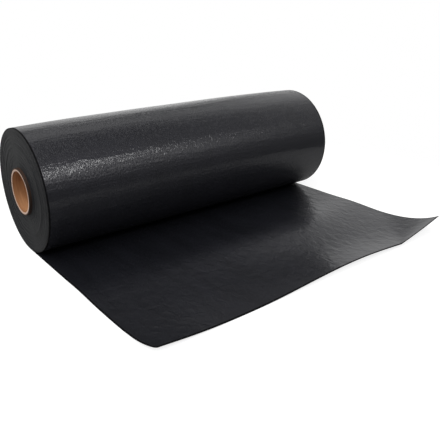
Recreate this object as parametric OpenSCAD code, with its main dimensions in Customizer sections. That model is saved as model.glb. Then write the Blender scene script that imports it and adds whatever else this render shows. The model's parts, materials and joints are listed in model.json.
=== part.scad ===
// Roll of damp proof course, lying on a floor with its free end drawn out from under it.
// Millimetres. +X runs along the roll, the end is drawn out towards -Y, and +Z is up.
// The origin is on the axis of the core, half way along the roll.

/* [Membrane] */
// Width of the membrane, which is the length of the roll
membrane_w = 450; // [200:1:1000]
// Thickness of the membrane
membrane_t = 0.5; // [0.4:0.1:1.2]
// Outside diameter of the wound roll
roll_d = 152; // [120:1:260]

/* [Core] */
// Bore of the cardboard core
core_bore_d = 50; // [40:1:76]
// Wall of the core
core_wall = 4; // [2:0.5:8]
// How far the core stands out of the roll at each end
core_proud = 3.5; // [1:0.5:12]

/* [Ends of the roll] */
// Bands of turns that show on each end
band_count = 12; // [4:1:20]
// The most that a band is shifted along the roll
band_shift = 0.6; // [0.1:0.1:1.5]

/* [Drawn-out end] */
// Length from the lowest line of the roll to the cut
end_l = 283; // [200:1:600]
// Length of the cut that is worn away at its corner on the -X side
corner_w = 7; // [1:1:20]
// Length of the side edge that is worn away there
corner_l = 32; // [5:1:40]
// Height of the wave along the cut
wave_h = 8; // [2:0.5:20]
// Length of that wave
wave_len = 336; // [250:1:600]
// Where along the roll the wave touches the floor
wave_low_x = -111; // [-200:1:200]
// How far the wave reaches in from the cut
wave_reach = 66; // [40:1:150]

/* [Turned-up corner] */
// Length of the cut that the corner takes
fold_w = 82; // [40:1:150]
// Length of the side edge that the corner takes
fold_l = 102; // [60:1:160]
// Height of the corner's tip, before the wave is added
fold_h = 22.5; // [5:0.5:40]

/* [Hidden] */
$fn = 128;

half_w = membrane_w / 2;
roll_r = roll_d / 2;
core_bore_r = core_bore_d / 2;
core_r = core_bore_r + core_wall;
floor_z = -roll_r;

// Step in height that is left where the drawn-out end meets the underside of the roll,
// so that the two faces cross there and aren't tangent.
nip_step = 0.05;
root_y = -sqrt(2 * roll_r * nip_step - nip_step * nip_step);

cut_y = -end_l;
fold_x = half_w - fold_w;
fold_angle = atan2(fold_l, fold_w);

// Rows and columns of the grid that the drawn-out end is laid over.
columns_to_fold = 20;
columns_in_fold = 8;
rows_curved = 10;
rows_in_corner = 6;
curved_l = max(wave_reach, fold_l);

// Shift of band i along the roll. Each turn has the same width, so both ends shift alike.
// The outermost band is the one that is drawn out, and it isn't shifted.
function shift(i) = i == band_count - 1 ? 0 : band_shift * sin(137.5 * (i + 1));

function band_r(i) = core_r + (roll_r - core_r) * i / band_count;

// Half section of the roll, as [distance from the axis, place along it].
roll_section = [
    for (i = [0 : band_count - 1], edge = [0, 1]) [band_r(i + edge), half_w + shift(i)],
    for (i = [band_count - 1 : -1 : 0], edge = [1, 0]) [band_r(i + edge), -half_w + shift(i)]
];

function wave(x, y) =
    let (share = max(0, 1 - (y - cut_y) / wave_reach))
    wave_h * (1 - cos(360 * (x - wave_low_x) / wave_len)) / 2 * share * share;

// Slope of the straight line that runs from the fold's point on the cut at this angle to the cut.
function fold_slope(angle) =
    angle >= fold_angle ? 0 : asin(fold_h / fold_w * pow(1 - angle / fold_angle, 2));

// Where a point of the flat membrane comes to when its corner is turned up as part of a cone.
function folded(x, y) =
    let (dx = x - fold_x, dy = y - cut_y)
    dx <= 0 ? [x, y, 0] :
    let (r = norm([dx, dy]), angle = atan2(dy, dx), slope = fold_slope(angle))
    [fold_x + dx * cos(slope), cut_y + dy * cos(slope), r * sin(slope)];

function laid(x, y) = folded(x, y) + [0, 0, floor_z + wave(x, y)];

// The side edge at -X, which ends in a quarter of an ellipse at the worn corner.
function near_x(y) =
    let (share = max(0, 1 - (y - cut_y) / corner_l))
    -half_w + corner_w * (1 - sqrt(1 - share * share));

function column_x(i, y) =
    i <= columns_to_fold
        ? near_x(y) + (fold_x - near_x(y)) * i / columns_to_fold
        : fold_x + fold_w * (i - columns_to_fold) / columns_in_fold;

columns = columns_to_fold + columns_in_fold + 1;
rows = [
    root_y,
    for (j = [rows_curved : -1 : 1]) cut_y + corner_l + (curved_l - corner_l) * j / rows_curved,
    for (j = [rows_in_corner : -1 : 0]) cut_y + corner_l * (1 - cos(90 * j / rows_in_corner))
];

// A closed sheet over a grid of points: the underside, the same raised by the thickness, and a rim.
module sheet(under, across, along, thickness) {
    count = across * along;
    top = [for (p = under) p + [0, 0, thickness]];
    at = function (i, j) j * across + i;
    rim = [
        for (i = [0 : across - 1]) at(i, 0),
        for (j = [1 : along - 1]) at(across - 1, j),
        for (i = [across - 2 : -1 : 0]) at(i, along - 1),
        for (j = [along - 2 : -1 : 1]) at(0, j)
    ];
    polyhedron(
        points = concat(under, top),
        faces = [
            for (j = [0 : along - 2], i = [0 : across - 2], half = [0, 1])
                let (a = at(i, j), b = at(i + 1, j), c = at(i + 1, j + 1), d = at(i, j + 1))
                each half == 0
                    ? [[a, c, b], [a + count, b + count, c + count]]
                    : [[a, d, c], [a + count, c + count, d + count]],
            for (k = [0 : len(rim) - 1])
                let (a = rim[k], b = rim[(k + 1) % len(rim)])
                each [[a, b, b + count], [a, b + count, a + count]]
        ]
    );
}

module wound_turns() {
    rotate([0, 90, 0]) rotate_extrude() polygon(roll_section);
}

module drawn_out_end() {
    under = [for (y = rows, i = [0 : columns - 1]) laid(column_x(i, y), y)];
    sheet(under, columns, len(rows), membrane_t);
}

module membrane() {
    color([0.13, 0.13, 0.14]) {
        wound_turns();
        drawn_out_end();
    }
}

module core_tube() {
    core_l = membrane_w + 2 * core_proud;
    color([0.62, 0.42, 0.27])
        rotate([0, 90, 0])
            difference() {
                cylinder(h = core_l, r = core_r, center = true);
                cylinder(h = core_l + 2, r = core_bore_r, center = true);
            }
}

membrane();
core_tube();
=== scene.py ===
"""A roll of damp proof course, lying on a floor with its free end drawn out.

It is black embossed polyethylene, wound on a cardboard tube. Everything is in metres. X runs along the
roll, the end is drawn out towards -Y and Z is up.
"""
import json
import math

import bmesh
import bpy
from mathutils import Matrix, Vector, noise


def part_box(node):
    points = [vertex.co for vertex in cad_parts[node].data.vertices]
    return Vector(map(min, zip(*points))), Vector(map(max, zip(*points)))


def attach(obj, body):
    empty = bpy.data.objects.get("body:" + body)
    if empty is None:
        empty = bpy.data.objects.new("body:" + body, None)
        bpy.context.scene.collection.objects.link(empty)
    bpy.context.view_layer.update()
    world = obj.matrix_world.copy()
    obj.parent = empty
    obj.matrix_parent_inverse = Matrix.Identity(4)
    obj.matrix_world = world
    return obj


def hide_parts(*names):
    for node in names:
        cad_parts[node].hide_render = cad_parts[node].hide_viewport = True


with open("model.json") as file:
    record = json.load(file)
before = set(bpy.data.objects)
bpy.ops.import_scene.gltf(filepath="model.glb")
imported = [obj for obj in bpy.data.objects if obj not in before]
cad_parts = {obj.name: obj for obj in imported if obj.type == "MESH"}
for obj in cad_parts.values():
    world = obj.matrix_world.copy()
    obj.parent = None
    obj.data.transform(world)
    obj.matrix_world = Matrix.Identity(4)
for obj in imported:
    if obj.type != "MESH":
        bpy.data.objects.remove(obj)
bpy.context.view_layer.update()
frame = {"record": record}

bl_info = {
    "name": "Damp proof course roll",
    "version": (1, 0, 0),
    "blender": (4, 5, 0),
    "location": "3D View > Sidebar > DPC Roll",
    "description": "Winds a strip of embossed polyethylene on a cardboard tube and lights it",
    "category": "Add Mesh",
}

MM = 0.001
BODY = "root"

membrane_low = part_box("membrane")[0]
core_low, core_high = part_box("core_tube")
core_mount = next(mount for mount in frame["record"]["mounts"] if mount["name"] == "core_bore")

FLOOR = membrane_low[2]
ROLL_RADIUS = -FLOOR
CORE_RADIUS = core_high[2]


def linear(hex_colour):
    """Turns an sRGB colour such as #1a1b1c into the linear RGBA that a shader takes."""
    channels = [int(hex_colour[i:i + 2], 16) / 255 for i in (1, 3, 5)]
    return tuple(c / 12.92 if c <= 0.04045 else ((c + 0.055) / 1.055) ** 2.4 for c in channels) + (1.0,)


def colour_setting(name, description, hex_colour):
    """A setting that holds one colour, with the sRGB colour that it starts from."""
    return bpy.props.FloatVectorProperty(
        name=name, description=description, default=linear(hex_colour), size=4, min=0.0, max=1.0,
        subtype="COLOR")


class MembraneSettings(bpy.types.PropertyGroup):
    """The strip, how it is wound and how its free end lies."""

    width: bpy.props.FloatProperty(
        name="Width", description="Width of the strip", default=0.450, unit="LENGTH")
    thickness: bpy.props.FloatProperty(
        name="Thickness", description="Thickness of the sheet", default=0.0005, unit="LENGTH")
    turns: bpy.props.IntProperty(
        name="Turns", description="Turns from the core to the outside", default=90)
    segments: bpy.props.IntProperty(
        name="Segments", description="Flats in each turn", default=88)
    wander: bpy.props.FloatProperty(
        name="Wander", description="About the most that a turn's edge strays along the roll",
        default=0.0004, unit="LENGTH")
    cockle: bpy.props.FloatProperty(
        name="Cockle", description="Height of the slight waves in the outermost turn and the free end",
        default=0.0003, unit="LENGTH")
    crown: bpy.props.FloatProperty(
        name="Crown", description="How much fuller the top of the roll is in the middle than at its ends",
        default=0.0027, unit="LENGTH")
    end_length: bpy.props.FloatProperty(
        name="End length", description="From under the roll's axis to the cut",
        default=-membrane_low[1], unit="LENGTH")
    corner_width: bpy.props.FloatProperty(
        name="Worn corner width", description="Length of the cut that is worn away",
        default=0.007, unit="LENGTH")
    corner_length: bpy.props.FloatProperty(
        name="Worn corner length", description="Length of the side edge that is worn away",
        default=0.032, unit="LENGTH")
    edge_bow: bpy.props.FloatProperty(
        name="Edge bow", description="How far the near side edge bows out on the free end",
        default=0.00065, unit="LENGTH")
    edge_bow_length: bpy.props.FloatProperty(
        name="Edge bow length", description="Length of that bow, in from the cut",
        default=0.2, unit="LENGTH")
    cut_bow: bpy.props.FloatProperty(
        name="Cut bow", description="How far the cut bows out near its worn corner",
        default=0.0014, unit="LENGTH")
    cut_bow_place: bpy.props.FloatProperty(
        name="Cut bow place", description="From the near side edge to the middle of that bow",
        default=0.045, unit="LENGTH")
    cut_bow_reach: bpy.props.FloatProperty(
        name="Cut bow reach", description="How far that bow spreads to each side",
        default=0.045, unit="LENGTH")
    wave_height: bpy.props.FloatProperty(
        name="Wave height", description="Height of the wave along the cut", default=0.008, unit="LENGTH")
    wave_length: bpy.props.FloatProperty(
        name="Wave length", description="Length of that wave", default=0.336, unit="LENGTH")
    wave_low: bpy.props.FloatProperty(
        name="Wave low", description="Where along the roll the wave touches the floor",
        default=-0.111, unit="LENGTH")
    wave_reach: bpy.props.FloatProperty(
        name="Wave reach", description="How far the wave reaches in from the cut",
        default=0.066, unit="LENGTH")
    fold_width: bpy.props.FloatProperty(
        name="Fold width", description="Length of the cut that the turned-up corner takes",
        default=0.082, unit="LENGTH")
    fold_length: bpy.props.FloatProperty(
        name="Fold length", description="Length of the side edge that the turned-up corner takes",
        default=0.102, unit="LENGTH")
    fold_height: bpy.props.FloatProperty(
        name="Fold height", description="Height of the turned-up corner", default=0.0225, unit="LENGTH")
    hump_height: bpy.props.FloatProperty(
        name="Hump height", description="Height of the low hump across the free end",
        default=0.0012, unit="LENGTH")
    hump_place: bpy.props.FloatProperty(
        name="Hump place", description="From the cut to the top of that hump", default=0.144, unit="LENGTH")
    hump_reach: bpy.props.FloatProperty(
        name="Hump reach", description="How far that hump spreads to each side",
        default=0.030, unit="LENGTH")
    bulge_height: bpy.props.FloatProperty(
        name="Bulge height", description="Height of the loose bulge in the free end",
        default=0.006, unit="LENGTH")
    bulge_place: bpy.props.FloatVectorProperty(
        name="Bulge place", description="Top of that bulge: along the roll, and in from the cut",
        default=(0.060, 0.126), size=2, unit="LENGTH")
    bulge_reach: bpy.props.FloatVectorProperty(
        name="Bulge reach", description="How far that bulge spreads along the roll, and along the strip",
        default=(0.140, 0.040), size=2, unit="LENGTH")
    emboss_width: bpy.props.FloatProperty(
        name="Emboss width", description="Width of the crinkles that the embossing rolls press in",
        default=0.0008, unit="LENGTH")
    emboss_length: bpy.props.FloatProperty(
        name="Emboss length", description="Length of those crinkles, along the strip",
        default=0.0032, unit="LENGTH")
    emboss_depth: bpy.props.FloatProperty(
        name="Emboss depth", description="Depth of those crinkles", default=0.00022, unit="LENGTH")
    crease_size: bpy.props.FloatVectorProperty(
        name="Crease size", description="Size of the faint creases: along the roll, and along the strip",
        default=(0.045, 0.006), size=2, unit="LENGTH")
    crease_depth: bpy.props.FloatProperty(
        name="Crease depth", description="Depth of the faint creases", default=0.0003, unit="LENGTH")
    pucker_size: bpy.props.FloatVectorProperty(
        name="Pucker size", description="Size of the puckers in the face that was wound inwards",
        default=(0.009, 0.012), size=2, unit="LENGTH")
    pucker_depth: bpy.props.FloatProperty(
        name="Pucker depth", description="Depth of those puckers", default=0.00042, unit="LENGTH")
    # The margin is painted nearly black and matt, a painted shade along the edges.
    selvedge: bpy.props.FloatProperty(
        name="Selvedge", description="Width of the matt margin along each side edge",
        default=0.0020, unit="LENGTH")
    sheet_dark: colour_setting(
        "Sheet, dark", "Colour of both faces in their darkest patches", "#101114")
    sheet_pale: colour_setting(
        "Sheet, pale", "Colour of both faces in their palest patches", "#191a1f")
    slit_dark: colour_setting(
        "Slit edge, dark", "Darkest colour of the slit edges of the wound turns", "#17181a")
    slit_pale: colour_setting(
        "Slit edge, pale", "Palest colour of the slit edges of the wound turns", "#252627")
    # Painted shade: the nearly black colour that the slit edges take along the outline of the roll's end
    # and on the free end.
    slit_outline_shade: colour_setting(
        "Slit edge, loose", "Colour of the slit edges of the loose turns and the free end", "#08080a")
    # Painted shade: the colours of the dark margins beside the slit edges.
    margin_shade_dark: colour_setting(
        "Scuffed margin, dark", "Darkest colour of the margins beside the slit edges", "#070708")
    margin_shade_pale: colour_setting(
        "Scuffed margin, pale", "Palest colour of the margins beside the slit edges", "#111113")


class CoreSettings(bpy.types.PropertyGroup):
    """The cardboard tube."""

    outer_radius: bpy.props.FloatProperty(
        name="Outer radius", description="Outside of the tube", default=CORE_RADIUS, unit="LENGTH")
    bore_radius: bpy.props.FloatProperty(
        name="Bore radius", description="Inside of the tube",
        default=core_mount["dims"]["r_mm"] * MM, unit="LENGTH")
    length: bpy.props.FloatProperty(
        name="Length", description="Length of the tube",
        default=core_high[0] - core_low[0], unit="LENGTH")
    # The outermost ply is painted dark, outside and on its sawn ends, as painted shade beside the roll's
    # end.
    outer_ply: bpy.props.FloatProperty(
        name="Outer ply", description="Thickness of the dark outermost ply",
        default=0.0016, unit="LENGTH")
    edge: bpy.props.FloatProperty(
        name="Edge", description="How far its sawn edges are worn", default=0.0005, unit="LENGTH")
    bore_dark: colour_setting(
        "Bore, dark", "Darkest colour of the board inside the bore", "#8a5430")
    bore_pale: colour_setting(
        "Bore, pale", "Palest colour of the board inside the bore", "#c08c60")
    # Painted shade: the dark browns of the outermost ply stand for the shadow beside the roll's end.
    outside_shade_dark: colour_setting(
        "Outside, dark", "Darkest colour of the outermost ply", "#2c1d14")
    outside_shade_pale: colour_setting(
        "Outside, pale", "Palest colour of the outermost ply", "#4a3223")
    sawn_dark: colour_setting(
        "Sawn end, dark", "Darkest colour of the sawn plies", "#b39684")
    sawn_pale: colour_setting(
        "Sawn end, pale", "Palest colour of the sawn plies", "#e0c6b6")
    # Painted shade: the dark colour of the outermost ply's sawn end.
    sawn_outside_shade: colour_setting(
        "Sawn end, outside", "Colour of the outermost ply where it is sawn", "#3a281d")


class StageSettings(bpy.types.PropertyGroup):
    """The camera, the lights and the floor."""

    lens: bpy.props.FloatProperty(
        name="Lens", description="Focal length of the camera in millimetres", default=45.76, unit="CAMERA")
    yaw: bpy.props.FloatProperty(
        name="Yaw", description="How far the camera is turned from +Y towards +X",
        default=math.radians(38.32), subtype="ANGLE")
    pitch: bpy.props.FloatProperty(
        name="Pitch", description="How far the camera looks down",
        default=math.radians(21.94), subtype="ANGLE")
    place: bpy.props.FloatVectorProperty(
        name="Place", description="Where the camera stands",
        default=(-0.4328, -0.6436, 0.2185), subtype="TRANSLATION")
    light: bpy.props.FloatProperty(
        name="Light", description="Strength of all the lights together", default=1.0)
    key_direction: bpy.props.FloatVectorProperty(
        name="Key direction",
        description="Azimuth of the key light from +Y towards +X, and its elevation, in degrees",
        default=(182.0, 40.5), size=2)
    key_distance: bpy.props.FloatProperty(
        name="Key distance", description="From the middle of the roll to the key light",
        default=1.55, unit="LENGTH")
    key_size: bpy.props.FloatVectorProperty(
        name="Key size", description="Width and height of the key light",
        default=(0.38, 0.24), size=2, unit="LENGTH")
    key_brightness: bpy.props.FloatProperty(
        name="Key brightness", description="How bright the face of the key light is, where 1 is white",
        default=16.0)
    paper: bpy.props.FloatProperty(
        name="Paper", description="How much whiter the floor shows than it is lit", default=0.80)
    paper_colour: colour_setting(
        "Paper colour", "Colour of the floor as the light finds it", "#9e9e9e")
    mirrored_white: bpy.props.FloatProperty(
        name="Mirrored white", description="Share of the white background that gloss and glass see",
        default=0.05, subtype="FACTOR")
    floor_radius: bpy.props.FloatProperty(
        name="Floor radius", description="Radius of the round floor", default=0.50, unit="LENGTH")
    floor_place: bpy.props.FloatProperty(
        name="Floor place", description="Middle of the floor along Y", default=-0.06, unit="LENGTH")


def add_node(tree, kind, inputs=None, **settings):
    """Adds a node, sets its properties, and fills its inputs with values or links."""
    node = tree.nodes.new(kind)
    for name, value in settings.items():
        setattr(node, name, value)
    for name, value in (inputs or {}).items():
        if isinstance(value, bpy.types.NodeSocket):
            tree.links.new(value, node.inputs[name])
        else:
            node.inputs[name].default_value = value
    return node


def new_material(name):
    """An empty node material, with its output."""
    material = bpy.data.materials.new(name)
    material.use_nodes = True
    tree = material.node_tree
    tree.nodes.clear()
    return material, tree, add_node(tree, "ShaderNodeOutputMaterial")


def axis_distance(tree, place):
    """How far a place on a piece is from the roll's axis, which is the piece's own X axis."""
    split = add_node(tree, "ShaderNodeSeparateXYZ", {"Vector": place}).outputs
    across = add_node(tree, "ShaderNodeCombineXYZ", {"Y": split["Y"], "Z": split["Z"]}).outputs["Vector"]
    return add_node(tree, "ShaderNodeVectorMath", {0: across}, operation="LENGTH").outputs["Value"]


# ---------------------------------------------------------------- materials


# Real sizes of the patterns in the sheet: the patches of duller sheen, along the roll and along the strip,
# the bands of darker and paler turns, the dust on their edges, and the mottle in the margins' painted
# shade.
DULL_PATCH = (25 * MM, 111.11 * MM)
TURN_SHADE = 2.381 * MM
EDGE_DUST = 11.111 * MM
MARGIN_MOTTLE_SIZE = 4 * MM

# Depth in the roll down to which the slit edges are painted darker, a painted shade along the outline of
# the roll's end, and down to which that painted shade is at its darkest.
OUTLINE_SHADE_DEPTH = 2.4 * MM
DARK_DEPTH = 1.4 * MM

# Real sizes of the patterns in the board: the bands of fibres, along the tube and across it, the plies
# that show on its sawn ends, and the fluff there.
FIBRE_BAND = (6.6667 * MM, 71.43 * MM, 71.43 * MM)
SAWN_PLY = 0.625 * MM
SAWN_FLUFF = 1.4286 * MM

# How high the fibres stand out of the board, on its faces and on its sawn ends, and how far the colours
# of two plies run into each other there.
FACE_TOOTH = 0.1 * MM
SAWN_TOOTH = 0.2 * MM
PLY_BLUR = 0.2 * MM

# Indices of refraction of polyethylene and of the glued paper of the board.
POLYETHYLENE_IOR = 1.51
BOARD_IOR = 1.45


def polyethylene_skin(name, settings, emboss_depth, fold_size, fold_depth, roughness, gloss,
                      gloss_roughness):
    """A face of the strip: the crinkles of the embossing, faint folds, and patches of duller sheen."""
    material, tree, output = new_material(name)
    flat = add_node(tree, "ShaderNodeUVMap", uv_map="flat").outputs["UV"]
    cells = add_node(tree, "ShaderNodeMapping", {
        "Vector": flat, "Scale": (settings.emboss_width, settings.emboss_length, 1.0)},
        vector_type="TEXTURE").outputs["Vector"]
    crinkle = add_node(tree, "ShaderNodeTexNoise", {
        "Vector": cells, "Scale": 1.0, "Detail": 0.0, "Distortion": 0.4},
        noise_dimensions="2D").outputs["Fac"]
    pressed = add_node(tree, "ShaderNodeBump", {
        "Height": crinkle, "Distance": emboss_depth, "Strength": 1.0}).outputs["Normal"]
    in_folds = add_node(tree, "ShaderNodeMapping", {
        "Vector": flat, "Scale": (*fold_size, 1.0)}, vector_type="TEXTURE").outputs["Vector"]
    folds = add_node(tree, "ShaderNodeTexNoise", {
        "Vector": in_folds, "Scale": 1.0, "Detail": 2.0, "Roughness": 0.5, "Distortion": 0.4},
        noise_dimensions="2D").outputs["Fac"]
    creased = add_node(tree, "ShaderNodeBump", {
        "Height": folds, "Distance": fold_depth, "Strength": 1.0, "Normal": pressed}).outputs["Normal"]

    in_patches = add_node(tree, "ShaderNodeMapping", {
        "Vector": flat, "Scale": (*DULL_PATCH, 1.0)}, vector_type="TEXTURE").outputs["Vector"]
    patches = add_node(tree, "ShaderNodeTexNoise", {
        "Vector": in_patches, "Scale": 1.0, "Detail": 4.0, "Roughness": 0.6},
        noise_dimensions="2D").outputs["Fac"]
    unevenness = 0.03
    rough = add_node(tree, "ShaderNodeMapRange", {
        "Value": patches, "From Min": 0.25, "From Max": 0.75,
        "To Min": roughness - unevenness, "To Max": roughness + unevenness}).outputs["Result"]
    tone = add_node(tree, "ShaderNodeMix", {
        "Factor": patches, "A": settings.sheet_dark, "B": settings.sheet_pale}, data_type="RGBA")
    shader = add_node(tree, "ShaderNodeBsdfPrincipled", {
        "Base Color": tone.outputs["Result"], "Roughness": rough, "IOR": POLYETHYLENE_IOR,
        "Specular IOR Level": 0.35, "Specular Tint": linear("#f4f2ff"), "Normal": creased,
        "Coat Weight": gloss, "Coat Roughness": gloss_roughness, "Coat IOR": POLYETHYLENE_IOR,
        "Coat Normal": creased})
    tree.links.new(shader.outputs["BSDF"], output.inputs["Surface"])
    return material


def embossed_polyethylene(settings):
    """Low density polyethylene, black with soot and pressed between embossing rolls.

    The eye gets a nearly black sheet. The fine grain of the rolls gives it a broad, soft sheen, and the
    polished crests of the crinkles add small sharp glints. The crinkles are drawn as coarse as they need
    to be to show.
    """
    return polyethylene_skin(
        "embossed_polyethylene", settings, settings.emboss_depth, settings.crease_size,
        settings.crease_depth, roughness=0.50, gloss=0.75, gloss_roughness=0.12)


def plain_polyethylene(settings):
    """The strip's other face, which is smoother, with faint puckers from being wound tight.

    The eye gets a closer, silkier sheen that the puckers mottle. The embossing only just shows through.
    """
    shown_through = 0.1
    return polyethylene_skin(
        "plain_polyethylene", settings, shown_through * settings.emboss_depth, settings.pucker_size,
        settings.pucker_depth, roughness=0.38, gloss=0.35, gloss_roughness=0.15)


def slit_polyethylene(settings):
    """The slit edges of the same sheet, which the knife leaves matt and greyer.

    They are painted darkest on the outermost turns and on the free end, as painted shade along the outline.
    """
    material, tree, output = new_material("slit_polyethylene")
    place = add_node(tree, "ShaderNodeTexCoord").outputs["Object"]
    radius = axis_distance(tree, place)
    rings = add_node(tree, "ShaderNodeTexNoise", {
        "W": radius, "Scale": 1 / TURN_SHADE, "Detail": 3.0, "Roughness": 0.7},
        noise_dimensions="1D").outputs["Fac"]
    dust = add_node(tree, "ShaderNodeTexNoise", {
        "Vector": place, "Scale": 1 / EDGE_DUST, "Detail": 4.0}).outputs["Fac"]
    mixed = add_node(tree, "ShaderNodeMath", {0: rings, 1: dust}, operation="MULTIPLY").outputs["Value"]
    share = add_node(tree, "ShaderNodeMapRange", {
        "Value": mixed, "From Min": 0.12, "From Max": 0.4}).outputs["Result"]
    tone = add_node(tree, "ShaderNodeMix", {
        "Factor": share, "A": settings.slit_dark, "B": settings.slit_pale},
        data_type="RGBA").outputs["Result"]
    # Painted shade: the outermost turns, and all the free end's edges, which lie further out, are painted
    # nearly black.
    loose = add_node(tree, "ShaderNodeMapRange", {
        "Value": radius, "From Min": ROLL_RADIUS - OUTLINE_SHADE_DEPTH,
        "From Max": ROLL_RADIUS - DARK_DEPTH}).outputs["Result"]
    shaded = add_node(tree, "ShaderNodeMix", {
        "Factor": loose, "A": tone, "B": settings.slit_outline_shade}, data_type="RGBA").outputs["Result"]
    shader = add_node(tree, "ShaderNodeBsdfPrincipled", {
        "Base Color": shaded, "Roughness": 0.62, "IOR": POLYETHYLENE_IOR, "Specular IOR Level": 0.35})
    tree.links.new(shader.outputs["BSDF"], output.inputs["Surface"])
    return material


def shaded_margin_polyethylene(settings):
    """The margins of the same sheet, painted nearly black and matt as a painted shade along its edges.

    The eye gets a thin line along the edges that is nearly black, with hardly any sheen.
    """
    material, tree, output = new_material("shaded_margin_polyethylene")
    place = add_node(tree, "ShaderNodeTexCoord").outputs["Object"]
    margin_mottle = add_node(tree, "ShaderNodeTexNoise", {
        "Vector": place, "Scale": 1 / MARGIN_MOTTLE_SIZE, "Detail": 3.0}).outputs["Fac"]
    tone = add_node(tree, "ShaderNodeMix", {
        "Factor": margin_mottle, "A": settings.margin_shade_dark, "B": settings.margin_shade_pale},
        data_type="RGBA").outputs["Result"]
    shader = add_node(tree, "ShaderNodeBsdfPrincipled", {
        "Base Color": tone, "Roughness": 0.75, "IOR": POLYETHYLENE_IOR, "Specular IOR Level": 0.08})
    tree.links.new(shader.outputs["BSDF"], output.inputs["Surface"])
    return material


def kraft_board(name, dark, pale):
    """Brown kraft board, wound in a spiral and glued.

    The eye gets a matt face, with bands a few millimetres wide that run round the tube.
    """
    material, tree, output = new_material(name)
    place = add_node(tree, "ShaderNodeTexCoord").outputs["Object"]
    in_bands = add_node(tree, "ShaderNodeMapping", {
        "Vector": place, "Scale": FIBRE_BAND}, vector_type="TEXTURE").outputs["Vector"]
    pulp = add_node(tree, "ShaderNodeTexNoise", {
        "Vector": in_bands, "Scale": 1.0, "Detail": 5.0, "Roughness": 0.65}).outputs["Fac"]
    share = add_node(tree, "ShaderNodeMapRange", {
        "Value": pulp, "From Min": 0.3, "From Max": 0.7}).outputs["Result"]
    tone = add_node(tree, "ShaderNodeMix", {"Factor": share, "A": dark, "B": pale}, data_type="RGBA")
    tooth = add_node(tree, "ShaderNodeBump", {
        "Height": pulp, "Distance": FACE_TOOTH, "Strength": 0.6}).outputs["Normal"]
    shader = add_node(tree, "ShaderNodeBsdfPrincipled", {
        "Base Color": tone.outputs["Result"], "Roughness": 0.78, "IOR": BOARD_IOR, "Normal": tooth})
    tree.links.new(shader.outputs["BSDF"], output.inputs["Surface"])
    return material


def inner_board(settings):
    """The bore, whose plies are plain kraft."""
    return kraft_board("inner_kraft_board", settings.bore_dark, settings.bore_pale)


def shaded_outer_board(settings):
    """The outermost ply, painted dark brown as painted shade, for the shadow its proud end lies in beside
    the roll.
    """
    return kraft_board("shaded_outer_kraft_board", settings.outside_shade_dark, settings.outside_shade_pale)


def sawn_board(settings):
    """The sawn ends of the board.

    The eye gets the plies as pale rings with a little fluff, and the outermost one dark, a painted shade
    where the tube meets the roll.
    """
    material, tree, output = new_material("sawn_kraft_board")
    place = add_node(tree, "ShaderNodeTexCoord").outputs["Object"]
    radius = axis_distance(tree, place)
    plies = add_node(tree, "ShaderNodeTexNoise", {
        "W": radius, "Scale": 1 / SAWN_PLY, "Detail": 1.0}, noise_dimensions="1D").outputs["Fac"]
    fluff = add_node(tree, "ShaderNodeTexNoise", {
        "Vector": place, "Scale": 1 / SAWN_FLUFF, "Detail": 3.0}).outputs["Fac"]
    height = add_node(tree, "ShaderNodeMath", {0: plies, 1: fluff}, operation="ADD").outputs["Value"]
    pale = add_node(tree, "ShaderNodeMix", {
        "Factor": plies, "A": settings.sawn_dark, "B": settings.sawn_pale},
        data_type="RGBA").outputs["Result"]
    # Painted shade: the outermost ply's sawn end is dark.
    ply_radius = settings.outer_radius - settings.outer_ply
    outermost = add_node(tree, "ShaderNodeMapRange", {
        "Value": radius, "From Min": ply_radius - PLY_BLUR,
        "From Max": ply_radius + PLY_BLUR}).outputs["Result"]
    tone = add_node(tree, "ShaderNodeMix", {
        "Factor": outermost, "A": pale, "B": settings.sawn_outside_shade}, data_type="RGBA")
    tooth = add_node(tree, "ShaderNodeBump", {
        "Height": height, "Distance": SAWN_TOOTH, "Strength": 0.8}).outputs["Normal"]
    shader = add_node(tree, "ShaderNodeBsdfPrincipled", {
        "Base Color": tone.outputs["Result"], "Roughness": 0.85, "IOR": BOARD_IOR, "Normal": tooth})
    tree.links.new(shader.outputs["BSDF"], output.inputs["Surface"])
    return material


# ---------------------------------------------------------------- the membrane


# The strip is modelled flat, on a grid of whole columns and rows, and is then wound and laid. Column 0 is
# its near side edge, the first and the last column are its margins, and row 0 is its cut.
COLUMNS = 90
FOLD_COLUMNS = 17
END_ROWS = 62
CORNER_ROWS = 12
SELVEDGE_ROWS = 3

# Rows over which the cockles and the crown fade out, at the nip and where the outermost turn runs under
# its own end.
EASE_ROWS = 6

# The strip's materials, in the order of its slots.
EMBOSSED, SLIT, PLAIN, SHADED_MARGIN = range(4)

# The two ways in which the edges stray along the roll: how often each changes in a turn, its share of the
# wander, and its own place in the noise.
STRAYS = ((0.13, 1.3, 3.1), (0.9, 0.6, 7.7))

# Cockles in a metre across and along the strip, and their own place in the noise.
COCKLES_ACROSS = 14
COCKLES_ALONG = 9
COCKLE_PLACE = 1.7


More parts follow.
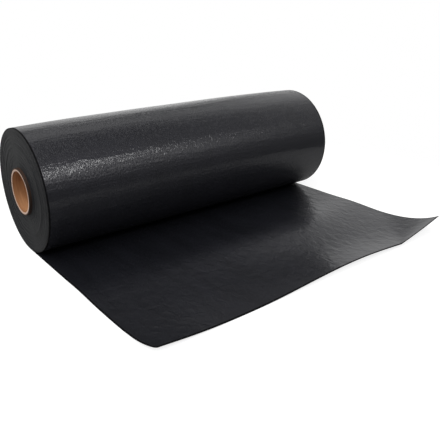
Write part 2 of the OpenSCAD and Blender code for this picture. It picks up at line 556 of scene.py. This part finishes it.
class Strip:
    """Where each point of the flat strip comes to, once it is wound and laid."""

    def __init__(self, settings):
        self.settings = settings
        self.half_width = settings.width / 2
        self.pitch = (ROLL_RADIUS - CORE_RADIUS - settings.thickness) / settings.turns
        self.cut = -settings.end_length
        self.fold_start = self.half_width - settings.fold_width
        self.fold_angle = math.atan2(settings.fold_length, settings.fold_width)

    def row_angle(self, row):
        """Angle of winding of a row of the roll, from the lowest line of the roll."""
        return (row - END_ROWS) * math.tau / self.settings.segments

    def row_along(self, row):
        """Distance of a row of the free end from the cut."""
        settings = self.settings
        if row <= CORNER_ROWS:
            return settings.corner_length * (1 - math.cos(row / CORNER_ROWS * math.pi / 2))
        share = (row - CORNER_ROWS) / (END_ROWS - CORNER_ROWS)
        return settings.corner_length + (settings.end_length - settings.corner_length) * share

    def column_across(self, column, along):
        """Place of a column along the roll, this far from the cut."""
        near = self.near_side(along)
        if column == 0:
            return near
        if column == COLUMNS:
            return self.half_width
        body_columns = COLUMNS - FOLD_COLUMNS
        if column <= body_columns:
            inside = near + self.settings.selvedge
            return inside + (self.fold_start - inside) * (column - 1) / (body_columns - 1)
        share = (column - body_columns) / (FOLD_COLUMNS - 1)
        return self.fold_start + (self.settings.fold_width - self.settings.selvedge) * share

    def flat_length(self, angle):
        """Length of strip from the cut to this angle of winding."""
        return self.settings.end_length + ROLL_RADIUS * angle - self.pitch * angle ** 2 / (4 * math.pi)

    def stray(self, angle):
        """How far the strip's edges stray along the roll at this angle of winding."""
        turn = angle / math.tau
        settled = min(1.0, max(0.0, turn - 1.0))
        strayed = 0.0
        for changes, share, place in STRAYS:
            strayed += share * noise.noise(Vector((turn * changes, place, 0.0)))
        return settled * self.settings.wander * strayed

    def cockled(self, across, along):
        """Height of the slight waves at a place on the flat strip."""
        place = Vector((across * COCKLES_ACROSS, along * COCKLES_ALONG, COCKLE_PLACE))
        return self.settings.cockle * (0.5 + 0.5 * noise.noise(place))

    def crowned(self, across, angle):
        """How much fuller the outermost turn is here than at its ends and where it meets the floor."""
        middle = 1 - abs(across / self.half_width) ** 3
        return self.settings.crown * middle * (1 - math.cos(angle)) / 2

    def wound(self, across, angle, height, fuller):
        """A point on a turn. Height 0 is the strip's outer face."""
        radius = ROLL_RADIUS - self.pitch * angle / math.tau - height + fuller
        return Vector((across + self.stray(angle), radius * math.sin(angle), -radius * math.cos(angle)))

    def near_side(self, along):
        """The strip's near side edge: a slight bow, and a quarter of an ellipse at the worn corner."""
        settings = self.settings
        share = max(0.0, 1 - along / settings.corner_length)
        worn = settings.corner_width * (1 - math.sqrt(1 - share ** 2))
        along_bow = min(1.0, along / settings.edge_bow_length)
        return -self.half_width + worn - settings.edge_bow * math.sin(math.pi * along_bow) ** 2

    def hump(self, along):
        """Height of the low hump that the strip's set leaves across the free end."""
        settings = self.settings
        return settings.hump_height * math.exp(-((along - settings.hump_place) / settings.hump_reach) ** 2)

    def bulge(self, across, along):
        """Height of the loose bulge in the free end, which both side edges hold down."""
        settings = self.settings
        held = max(0.0, 1 - (across / self.half_width) ** 2)
        sideways = (across - settings.bulge_place[0]) / settings.bulge_reach[0]
        lengthways = (along - settings.bulge_place[1]) / settings.bulge_reach[1]
        return settings.bulge_height * held * math.exp(-sideways ** 2 - lengthways ** 2)

    def bowed(self, across, along):
        """How far a point near the cut lies outside a straight cut."""
        settings = self.settings
        from_middle = (across + self.half_width - settings.cut_bow_place) / settings.cut_bow_reach
        share = max(0.0, 1 - along / settings.wave_reach)
        return settings.cut_bow * share * math.exp(-from_middle ** 2)

    def wave(self, across, along):
        """Height of the wave along the cut."""
        share = max(0.0, 1 - along / self.settings.wave_reach)
        turn = math.tau * (across - self.settings.wave_low) / self.settings.wave_length
        return self.settings.wave_height * (1 - math.cos(turn)) / 2 * share ** 2

    def laid(self, across, along, height):
        """A point on the free end, this far from the cut. Height 0 is the face on the floor."""
        settings = self.settings
        x, y, lift = across, self.cut + along - self.bowed(across, along), 0.0
        beside = across - self.fold_start
        angle = math.atan2(along, beside)
        if beside > 0 and angle < self.fold_angle:
            reach = math.hypot(beside, along)
            rise = settings.fold_height / settings.fold_width * (1 - angle / self.fold_angle) ** 2
            level = math.sqrt(1 - rise ** 2)
            x, y, lift = self.fold_start + beside * level, self.cut + along * level, reach * rise
        lift += self.wave(across, along) + self.hump(along) + self.bulge(across, along)
        return Vector((x, y, FLOOR + lift + height))


def flat_strip(shown_rows, hidden_rows):
    """The closed flat strip, with its columns and rows at whole numbers and 1 for its thickness.

    Its face at height -1 is wound outwards, and its face at height 0 is wound inwards.
    """
    bm = bmesh.new()
    bm.loops.layers.uv.new("flat")
    bmesh.ops.create_grid(bm, x_segments=COLUMNS, y_segments=shown_rows, size=0.5)
    for vert in bm.verts:
        column = round((vert.co.x + 0.5) * COLUMNS)
        row = round((vert.co.y + 0.5) * shown_rows)
        vert.co = Vector((column, row, 0.0))
    # The last row of the part that shows becomes one face, so that the hidden turns need no columns.
    between = [v for v in bm.verts if v.co.y == shown_rows and 0 < v.co.x < COLUMNS]
    bmesh.ops.dissolve_verts(bm, verts=between)

    hidden = bmesh.ops.create_grid(bm, x_segments=1, y_segments=hidden_rows, size=0.5)["verts"]
    for vert in hidden:
        row = shown_rows + round((vert.co.y + 0.5) * hidden_rows)
        vert.co = Vector((COLUMNS if vert.co.x > 0 else 0, row, 0.0))
    bmesh.ops.remove_doubles(bm, verts=bm.verts[:], dist=0.1)

    bmesh.ops.solidify(bm, geom=bm.faces[:], thickness=1.0)
    bmesh.ops.recalc_face_normals(bm, faces=bm.faces[:])
    return bm


def assign_faces(bm):
    """Gives the rim, the margins and the two faces of the flat strip their materials."""
    for face in bm.faces:
        column, row = face.calc_center_median().xy
        if abs(face.normal.z) < 0.5:
            face.material_index = SLIT
        elif column < 1 or column > COLUMNS - 1 or row < SELVEDGE_ROWS:
            # The margins take the painted shade along the edges.
            face.material_index = SHADED_MARGIN
        elif face.normal.z > 0:
            face.material_index = PLAIN
        else:
            face.material_index = EMBOSSED
        face.smooth = True


def wind_strip(settings):
    """Makes the strip flat, gives it its materials, and then winds it and lays its end."""
    strip = Strip(settings)
    shown_rows = END_ROWS + settings.segments
    bm = flat_strip(shown_rows, settings.segments * (settings.turns - 1))
    assign_faces(bm)
    flat = bm.loops.layers.uv["flat"]
    for vert in bm.verts:
        column, row, height = vert.co.x, vert.co.y, (vert.co.z + 1.0) * settings.thickness
        if row < END_ROWS:
            along = strip.row_along(row)
            across = strip.column_across(column, along)
            ease = min(1.0, (END_ROWS - row) / EASE_ROWS)
            place = strip.laid(across, along, height + strip.cockled(across, along) * ease)
        else:
            angle = strip.row_angle(row)
            along = strip.flat_length(angle)
            across = strip.column_across(column, settings.end_length)
            ease = min(1.0, (row - END_ROWS) / EASE_ROWS, max(0.0, (shown_rows - 1 - row) / EASE_ROWS))
            fuller = strip.cockled(across, along) + strip.crowned(across, angle)
            place = strip.wound(across, angle, height, ease * fuller)
        for loop in vert.link_loops:
            loop[flat].uv = (across, along)
        vert.co = place
    return bm


def bmesh_to_piece(bm, name, materials):
    """Turns a finished bmesh into an object at the origin that rides on the object's body."""
    mesh = bpy.data.meshes.new(name)
    bm.to_mesh(mesh)
    bm.free()
    for material in materials:
        mesh.materials.append(material)
    piece = bpy.data.objects.new(name, mesh)
    bpy.context.scene.collection.objects.link(piece)
    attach(piece, BODY)
    return piece


class DPC_OT_wind_membrane(bpy.types.Operator):
    """Wind the strip on the core and draw out its end"""

    bl_idname = "dpc.wind_membrane"
    bl_label = "Wind Membrane"

    def execute(self, context):
        settings = context.scene.dpc_membrane
        bm = wind_strip(settings)
        if any(len(edge.link_faces) != 2 for edge in bm.edges):
            raise RuntimeError("the strip isn't closed")
        skins = [
            embossed_polyethylene(settings), slit_polyethylene(settings),
            plain_polyethylene(settings), shaded_margin_polyethylene(settings),
        ]
        piece = bmesh_to_piece(bm, "wound_membrane", skins)
        piece.data.set_sharp_from_angle(angle=math.radians(30))
        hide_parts("membrane")
        return {"FINISHED"}


# ---------------------------------------------------------------- the core


# The core's materials, in the order of its slots.
BORE, SAWN_END, OUTSIDE = range(3)


def spin_tube(settings):
    """The tube: its wall in section, with its corners worn round, spun about the roll's axis."""
    bm = bmesh.new()
    half = settings.length / 2
    section = [
        (-half, settings.bore_radius), (half, settings.bore_radius),
        (half, settings.outer_radius), (-half, settings.outer_radius),
    ]
    corners = [bm.verts.new((x, 0.0, z)) for x, z in section]
    for i in range(len(corners)):
        bm.edges.new((corners[i], corners[i - 1]))
    bmesh.ops.bevel(
        bm, geom=corners, offset=settings.edge, segments=3, profile=0.5, affect="VERTICES", material=-1)
    bmesh.ops.spin(
        bm, geom=bm.verts[:] + bm.edges[:], cent=(0, 0, 0), axis=(1, 0, 0),
        angle=math.tau, steps=128, use_merge=True)
    bmesh.ops.remove_doubles(bm, verts=bm.verts[:], dist=1e-6)
    bmesh.ops.recalc_face_normals(bm, faces=bm.faces[:])

    middle_radius = (settings.bore_radius + settings.outer_radius) / 2
    for face in bm.faces:
        centre = face.calc_center_median()
        if abs(face.normal.x) > 0.5:
            face.material_index = SAWN_END
        elif math.hypot(centre.y, centre.z) > middle_radius:
            face.material_index = OUTSIDE
        else:
            face.material_index = BORE
        face.smooth = True
    return bm


class DPC_OT_make_core(bpy.types.Operator):
    """Make the cardboard tube"""

    bl_idname = "dpc.make_core"
    bl_label = "Make Core"

    def execute(self, context):
        settings = context.scene.dpc_core
        boards = [inner_board(settings), sawn_board(settings), shaded_outer_board(settings)]
        piece = bmesh_to_piece(spin_tube(settings), "cardboard_core", boards)
        piece.data.set_sharp_from_angle(angle=math.radians(40))
        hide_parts("core_tube")
        return {"FINISHED"}


# ---------------------------------------------------------------- the stage


# Each soft light round the roll: its azimuth from +Y towards +X, its elevation, how far its glow reaches
# from there and how far it is at its full strength, all in degrees, and that strength, where 1 is white.
SOFT_LIGHTS = {
    "key_glow": (165, 32, 18, 6, 1.27),
    "key_side": (150, 32, 18, 6, 0.57),
    "front_fill": (135, 32, 48, 24, 0.18),
    "side_wall": (255, 44, 48, 24, 1.25),
    "side_high": (270, 56, 48, 24, 1.15),
    "side_low": (315, -4, 48, 24, 0.23),
    "backdrop": (0, -4, 48, 24, 0.60),
    "backdrop_edge": (45, -4, 30, 12, 0.46),
    "backdrop_rise": (42, 12, 18, 6, 0.36),
    "backdrop_high": (24, 24, 18, 6, 0.45),
    "far_side": (75, 20, 30, 12, 0.69),
    "rear_high": (30, 56, 18, 6, 0.95),
    "rear_far": (60, 44, 18, 6, 0.44),
}


def direction(azimuth, elevation):
    """The unit vector towards an azimuth, from +Y towards +X, and an elevation, both in degrees."""
    azimuth, elevation = math.radians(azimuth), math.radians(elevation)
    level = math.cos(elevation)
    return Vector((level * math.sin(azimuth), level * math.cos(azimuth), math.sin(elevation)))


def key_box(settings):
    """The key light: a small soft box in front of the roll that points at its middle."""
    width, height = settings.key_size
    lamp = bpy.data.lights.new("key_box", "AREA")
    lamp.shape = "RECTANGLE"
    lamp.size, lamp.size_y = width, height
    # A face of brightness 1 gives off pi watts for each square metre.
    lamp.energy = settings.light * settings.key_brightness * math.pi * width * height
    box = bpy.data.objects.new("key_box", lamp)
    towards = direction(*settings.key_direction)
    box.location = settings.key_distance * towards
    box.rotation_euler = (-towards).to_track_quat("-Z", "Y").to_euler()
    box.visible_camera = False
    bpy.context.scene.collection.objects.link(box)


def white_seen(tree, mirrored_share):
    """How much of the white background a ray sees: all for the camera, a share for gloss and glass."""
    path = add_node(tree, "ShaderNodeLightPath").outputs
    mirrored = add_node(tree, "ShaderNodeMath", {
        0: path["Is Glossy Ray"], 1: path["Is Transmission Ray"]}, operation="MAXIMUM").outputs["Value"]
    dimmed = add_node(tree, "ShaderNodeMath", {
        0: mirrored, 1: mirrored_share}, operation="MULTIPLY").outputs["Value"]
    return add_node(tree, "ShaderNodeMath", {
        0: path["Is Camera Ray"], 1: dimmed}, operation="MAXIMUM").outputs["Value"]


def pale_paper(settings):
    """Pale matt paper, which shows white to the camera and still takes the shadow.

    Gloss and glass see it paler than it is too, but less than the camera does.
    """
    material, tree, output = new_material("pale_paper")
    paper = add_node(tree, "ShaderNodeBsdfDiffuse", {"Color": settings.paper_colour}).outputs["BSDF"]
    seen = white_seen(tree, settings.mirrored_white)
    lift = add_node(tree, "ShaderNodeEmission", {
        "Color": linear("#ffffff"), "Strength": settings.paper}).outputs["Emission"]
    lifted = add_node(tree, "ShaderNodeAddShader", {0: paper, 1: lift}).outputs["Shader"]
    both = add_node(tree, "ShaderNodeMixShader", {0: seen, 1: paper, 2: lifted}).outputs["Shader"]
    tree.links.new(both, output.inputs["Surface"])
    return material


def lay_floor(settings):
    """The round floor, level with the underside of the free end."""
    bm = bmesh.new()
    bmesh.ops.create_circle(bm, cap_ends=True, segments=96, radius=settings.floor_radius)
    bmesh.ops.translate(bm, verts=bm.verts[:], vec=(0.0, settings.floor_place, FLOOR))
    mesh = bpy.data.meshes.new("floor")
    bm.to_mesh(mesh)
    bm.free()
    mesh.materials.append(pale_paper(settings))
    floor = bpy.data.objects.new("floor", mesh)
    bpy.context.scene.collection.objects.link(floor)


def studio_world(settings):
    """The soft lights all round the object, in front of a white background."""
    world = bpy.data.worlds.new("studio")
    world.use_nodes = True
    tree = world.node_tree
    tree.nodes.clear()
    view = add_node(tree, "ShaderNodeTexCoord").outputs["Generated"]
    thrown = 0.0
    for name, (azimuth, elevation, outer, inner, brightness) in SOFT_LIGHTS.items():
        near = add_node(tree, "ShaderNodeVectorMath", {
            0: view, 1: direction(azimuth, elevation)}, operation="DOT_PRODUCT").outputs["Value"]
        glow = add_node(tree, "ShaderNodeMapRange", {
            "Value": near, "From Min": math.cos(math.radians(outer)),
            "From Max": math.cos(math.radians(inner)), "To Max": settings.light * brightness},
            interpolation_type="SMOOTHSTEP", label=name).outputs["Result"]
        thrown = add_node(tree, "ShaderNodeMath", {0: glow, 1: thrown}, operation="ADD").outputs["Value"]
    seen = white_seen(tree, settings.mirrored_white)
    strength = add_node(tree, "ShaderNodeMath", {0: thrown, 1: seen}, operation="MAXIMUM").outputs["Value"]
    light = add_node(tree, "ShaderNodeBackground", {"Color": linear("#ffffff"), "Strength": strength})
    sky = add_node(tree, "ShaderNodeOutputWorld")
    tree.links.new(light.outputs["Background"], sky.inputs["Surface"])
    return world


def stand_camera(settings):
    """The camera, at its place and turned by its yaw and pitch."""
    camera = bpy.data.cameras.new("camera")
    camera.sensor_width = 36.0
    camera.lens = settings.lens
    eye = bpy.data.objects.new("camera", camera)
    eye.location = settings.place
    eye.rotation_euler = (math.pi / 2 - settings.pitch, 0.0, -settings.yaw)
    bpy.context.scene.collection.objects.link(eye)
    return eye


class DPC_OT_set_stage(bpy.types.Operator):
    """Set up the floor, the lights and the camera"""

    bl_idname = "dpc.set_stage"
    bl_label = "Set Stage"

    def execute(self, context):
        scene = context.scene
        settings = scene.dpc_stage
        lay_floor(settings)
        key_box(settings)
        scene.world = studio_world(settings)
        scene.camera = stand_camera(settings)
        scene.view_settings.view_transform = "Standard"
        return {"FINISHED"}


class DPC_PT_roll(bpy.types.Panel):
    """The sizes and colours of the roll, and the buttons that make it"""

    bl_idname = "DPC_PT_roll"
    bl_label = "Damp Proof Course Roll"
    bl_space_type = "VIEW_3D"
    bl_region_type = "UI"
    bl_category = "DPC Roll"

    def draw(self, context):
        steps = (
            (context.scene.dpc_membrane, "dpc.wind_membrane"),
            (context.scene.dpc_core, "dpc.make_core"),
            (context.scene.dpc_stage, "dpc.set_stage"),
        )
        for settings, operator in steps:
            box = self.layout.box()
            for name in settings.__annotations__:
                box.prop(settings, name)
            box.operator(operator)


CLASSES = (
    MembraneSettings, CoreSettings, StageSettings,
    DPC_OT_wind_membrane, DPC_OT_make_core, DPC_OT_set_stage, DPC_PT_roll,
)


def register():
    for cls in CLASSES:
        bpy.utils.register_class(cls)
    bpy.types.Scene.dpc_membrane = bpy.props.PointerProperty(type=MembraneSettings)
    bpy.types.Scene.dpc_core = bpy.props.PointerProperty(type=CoreSettings)
    bpy.types.Scene.dpc_stage = bpy.props.PointerProperty(type=StageSettings)


def unregister():
    del bpy.types.Scene.dpc_stage
    del bpy.types.Scene.dpc_core
    del bpy.types.Scene.dpc_membrane
    for cls in reversed(CLASSES):
        bpy.utils.unregister_class(cls)


def main():
    register()
    bpy.ops.dpc.wind_membrane()
    bpy.ops.dpc.make_core()
    bpy.ops.dpc.set_stage()


if __name__ == "__main__":
    main()
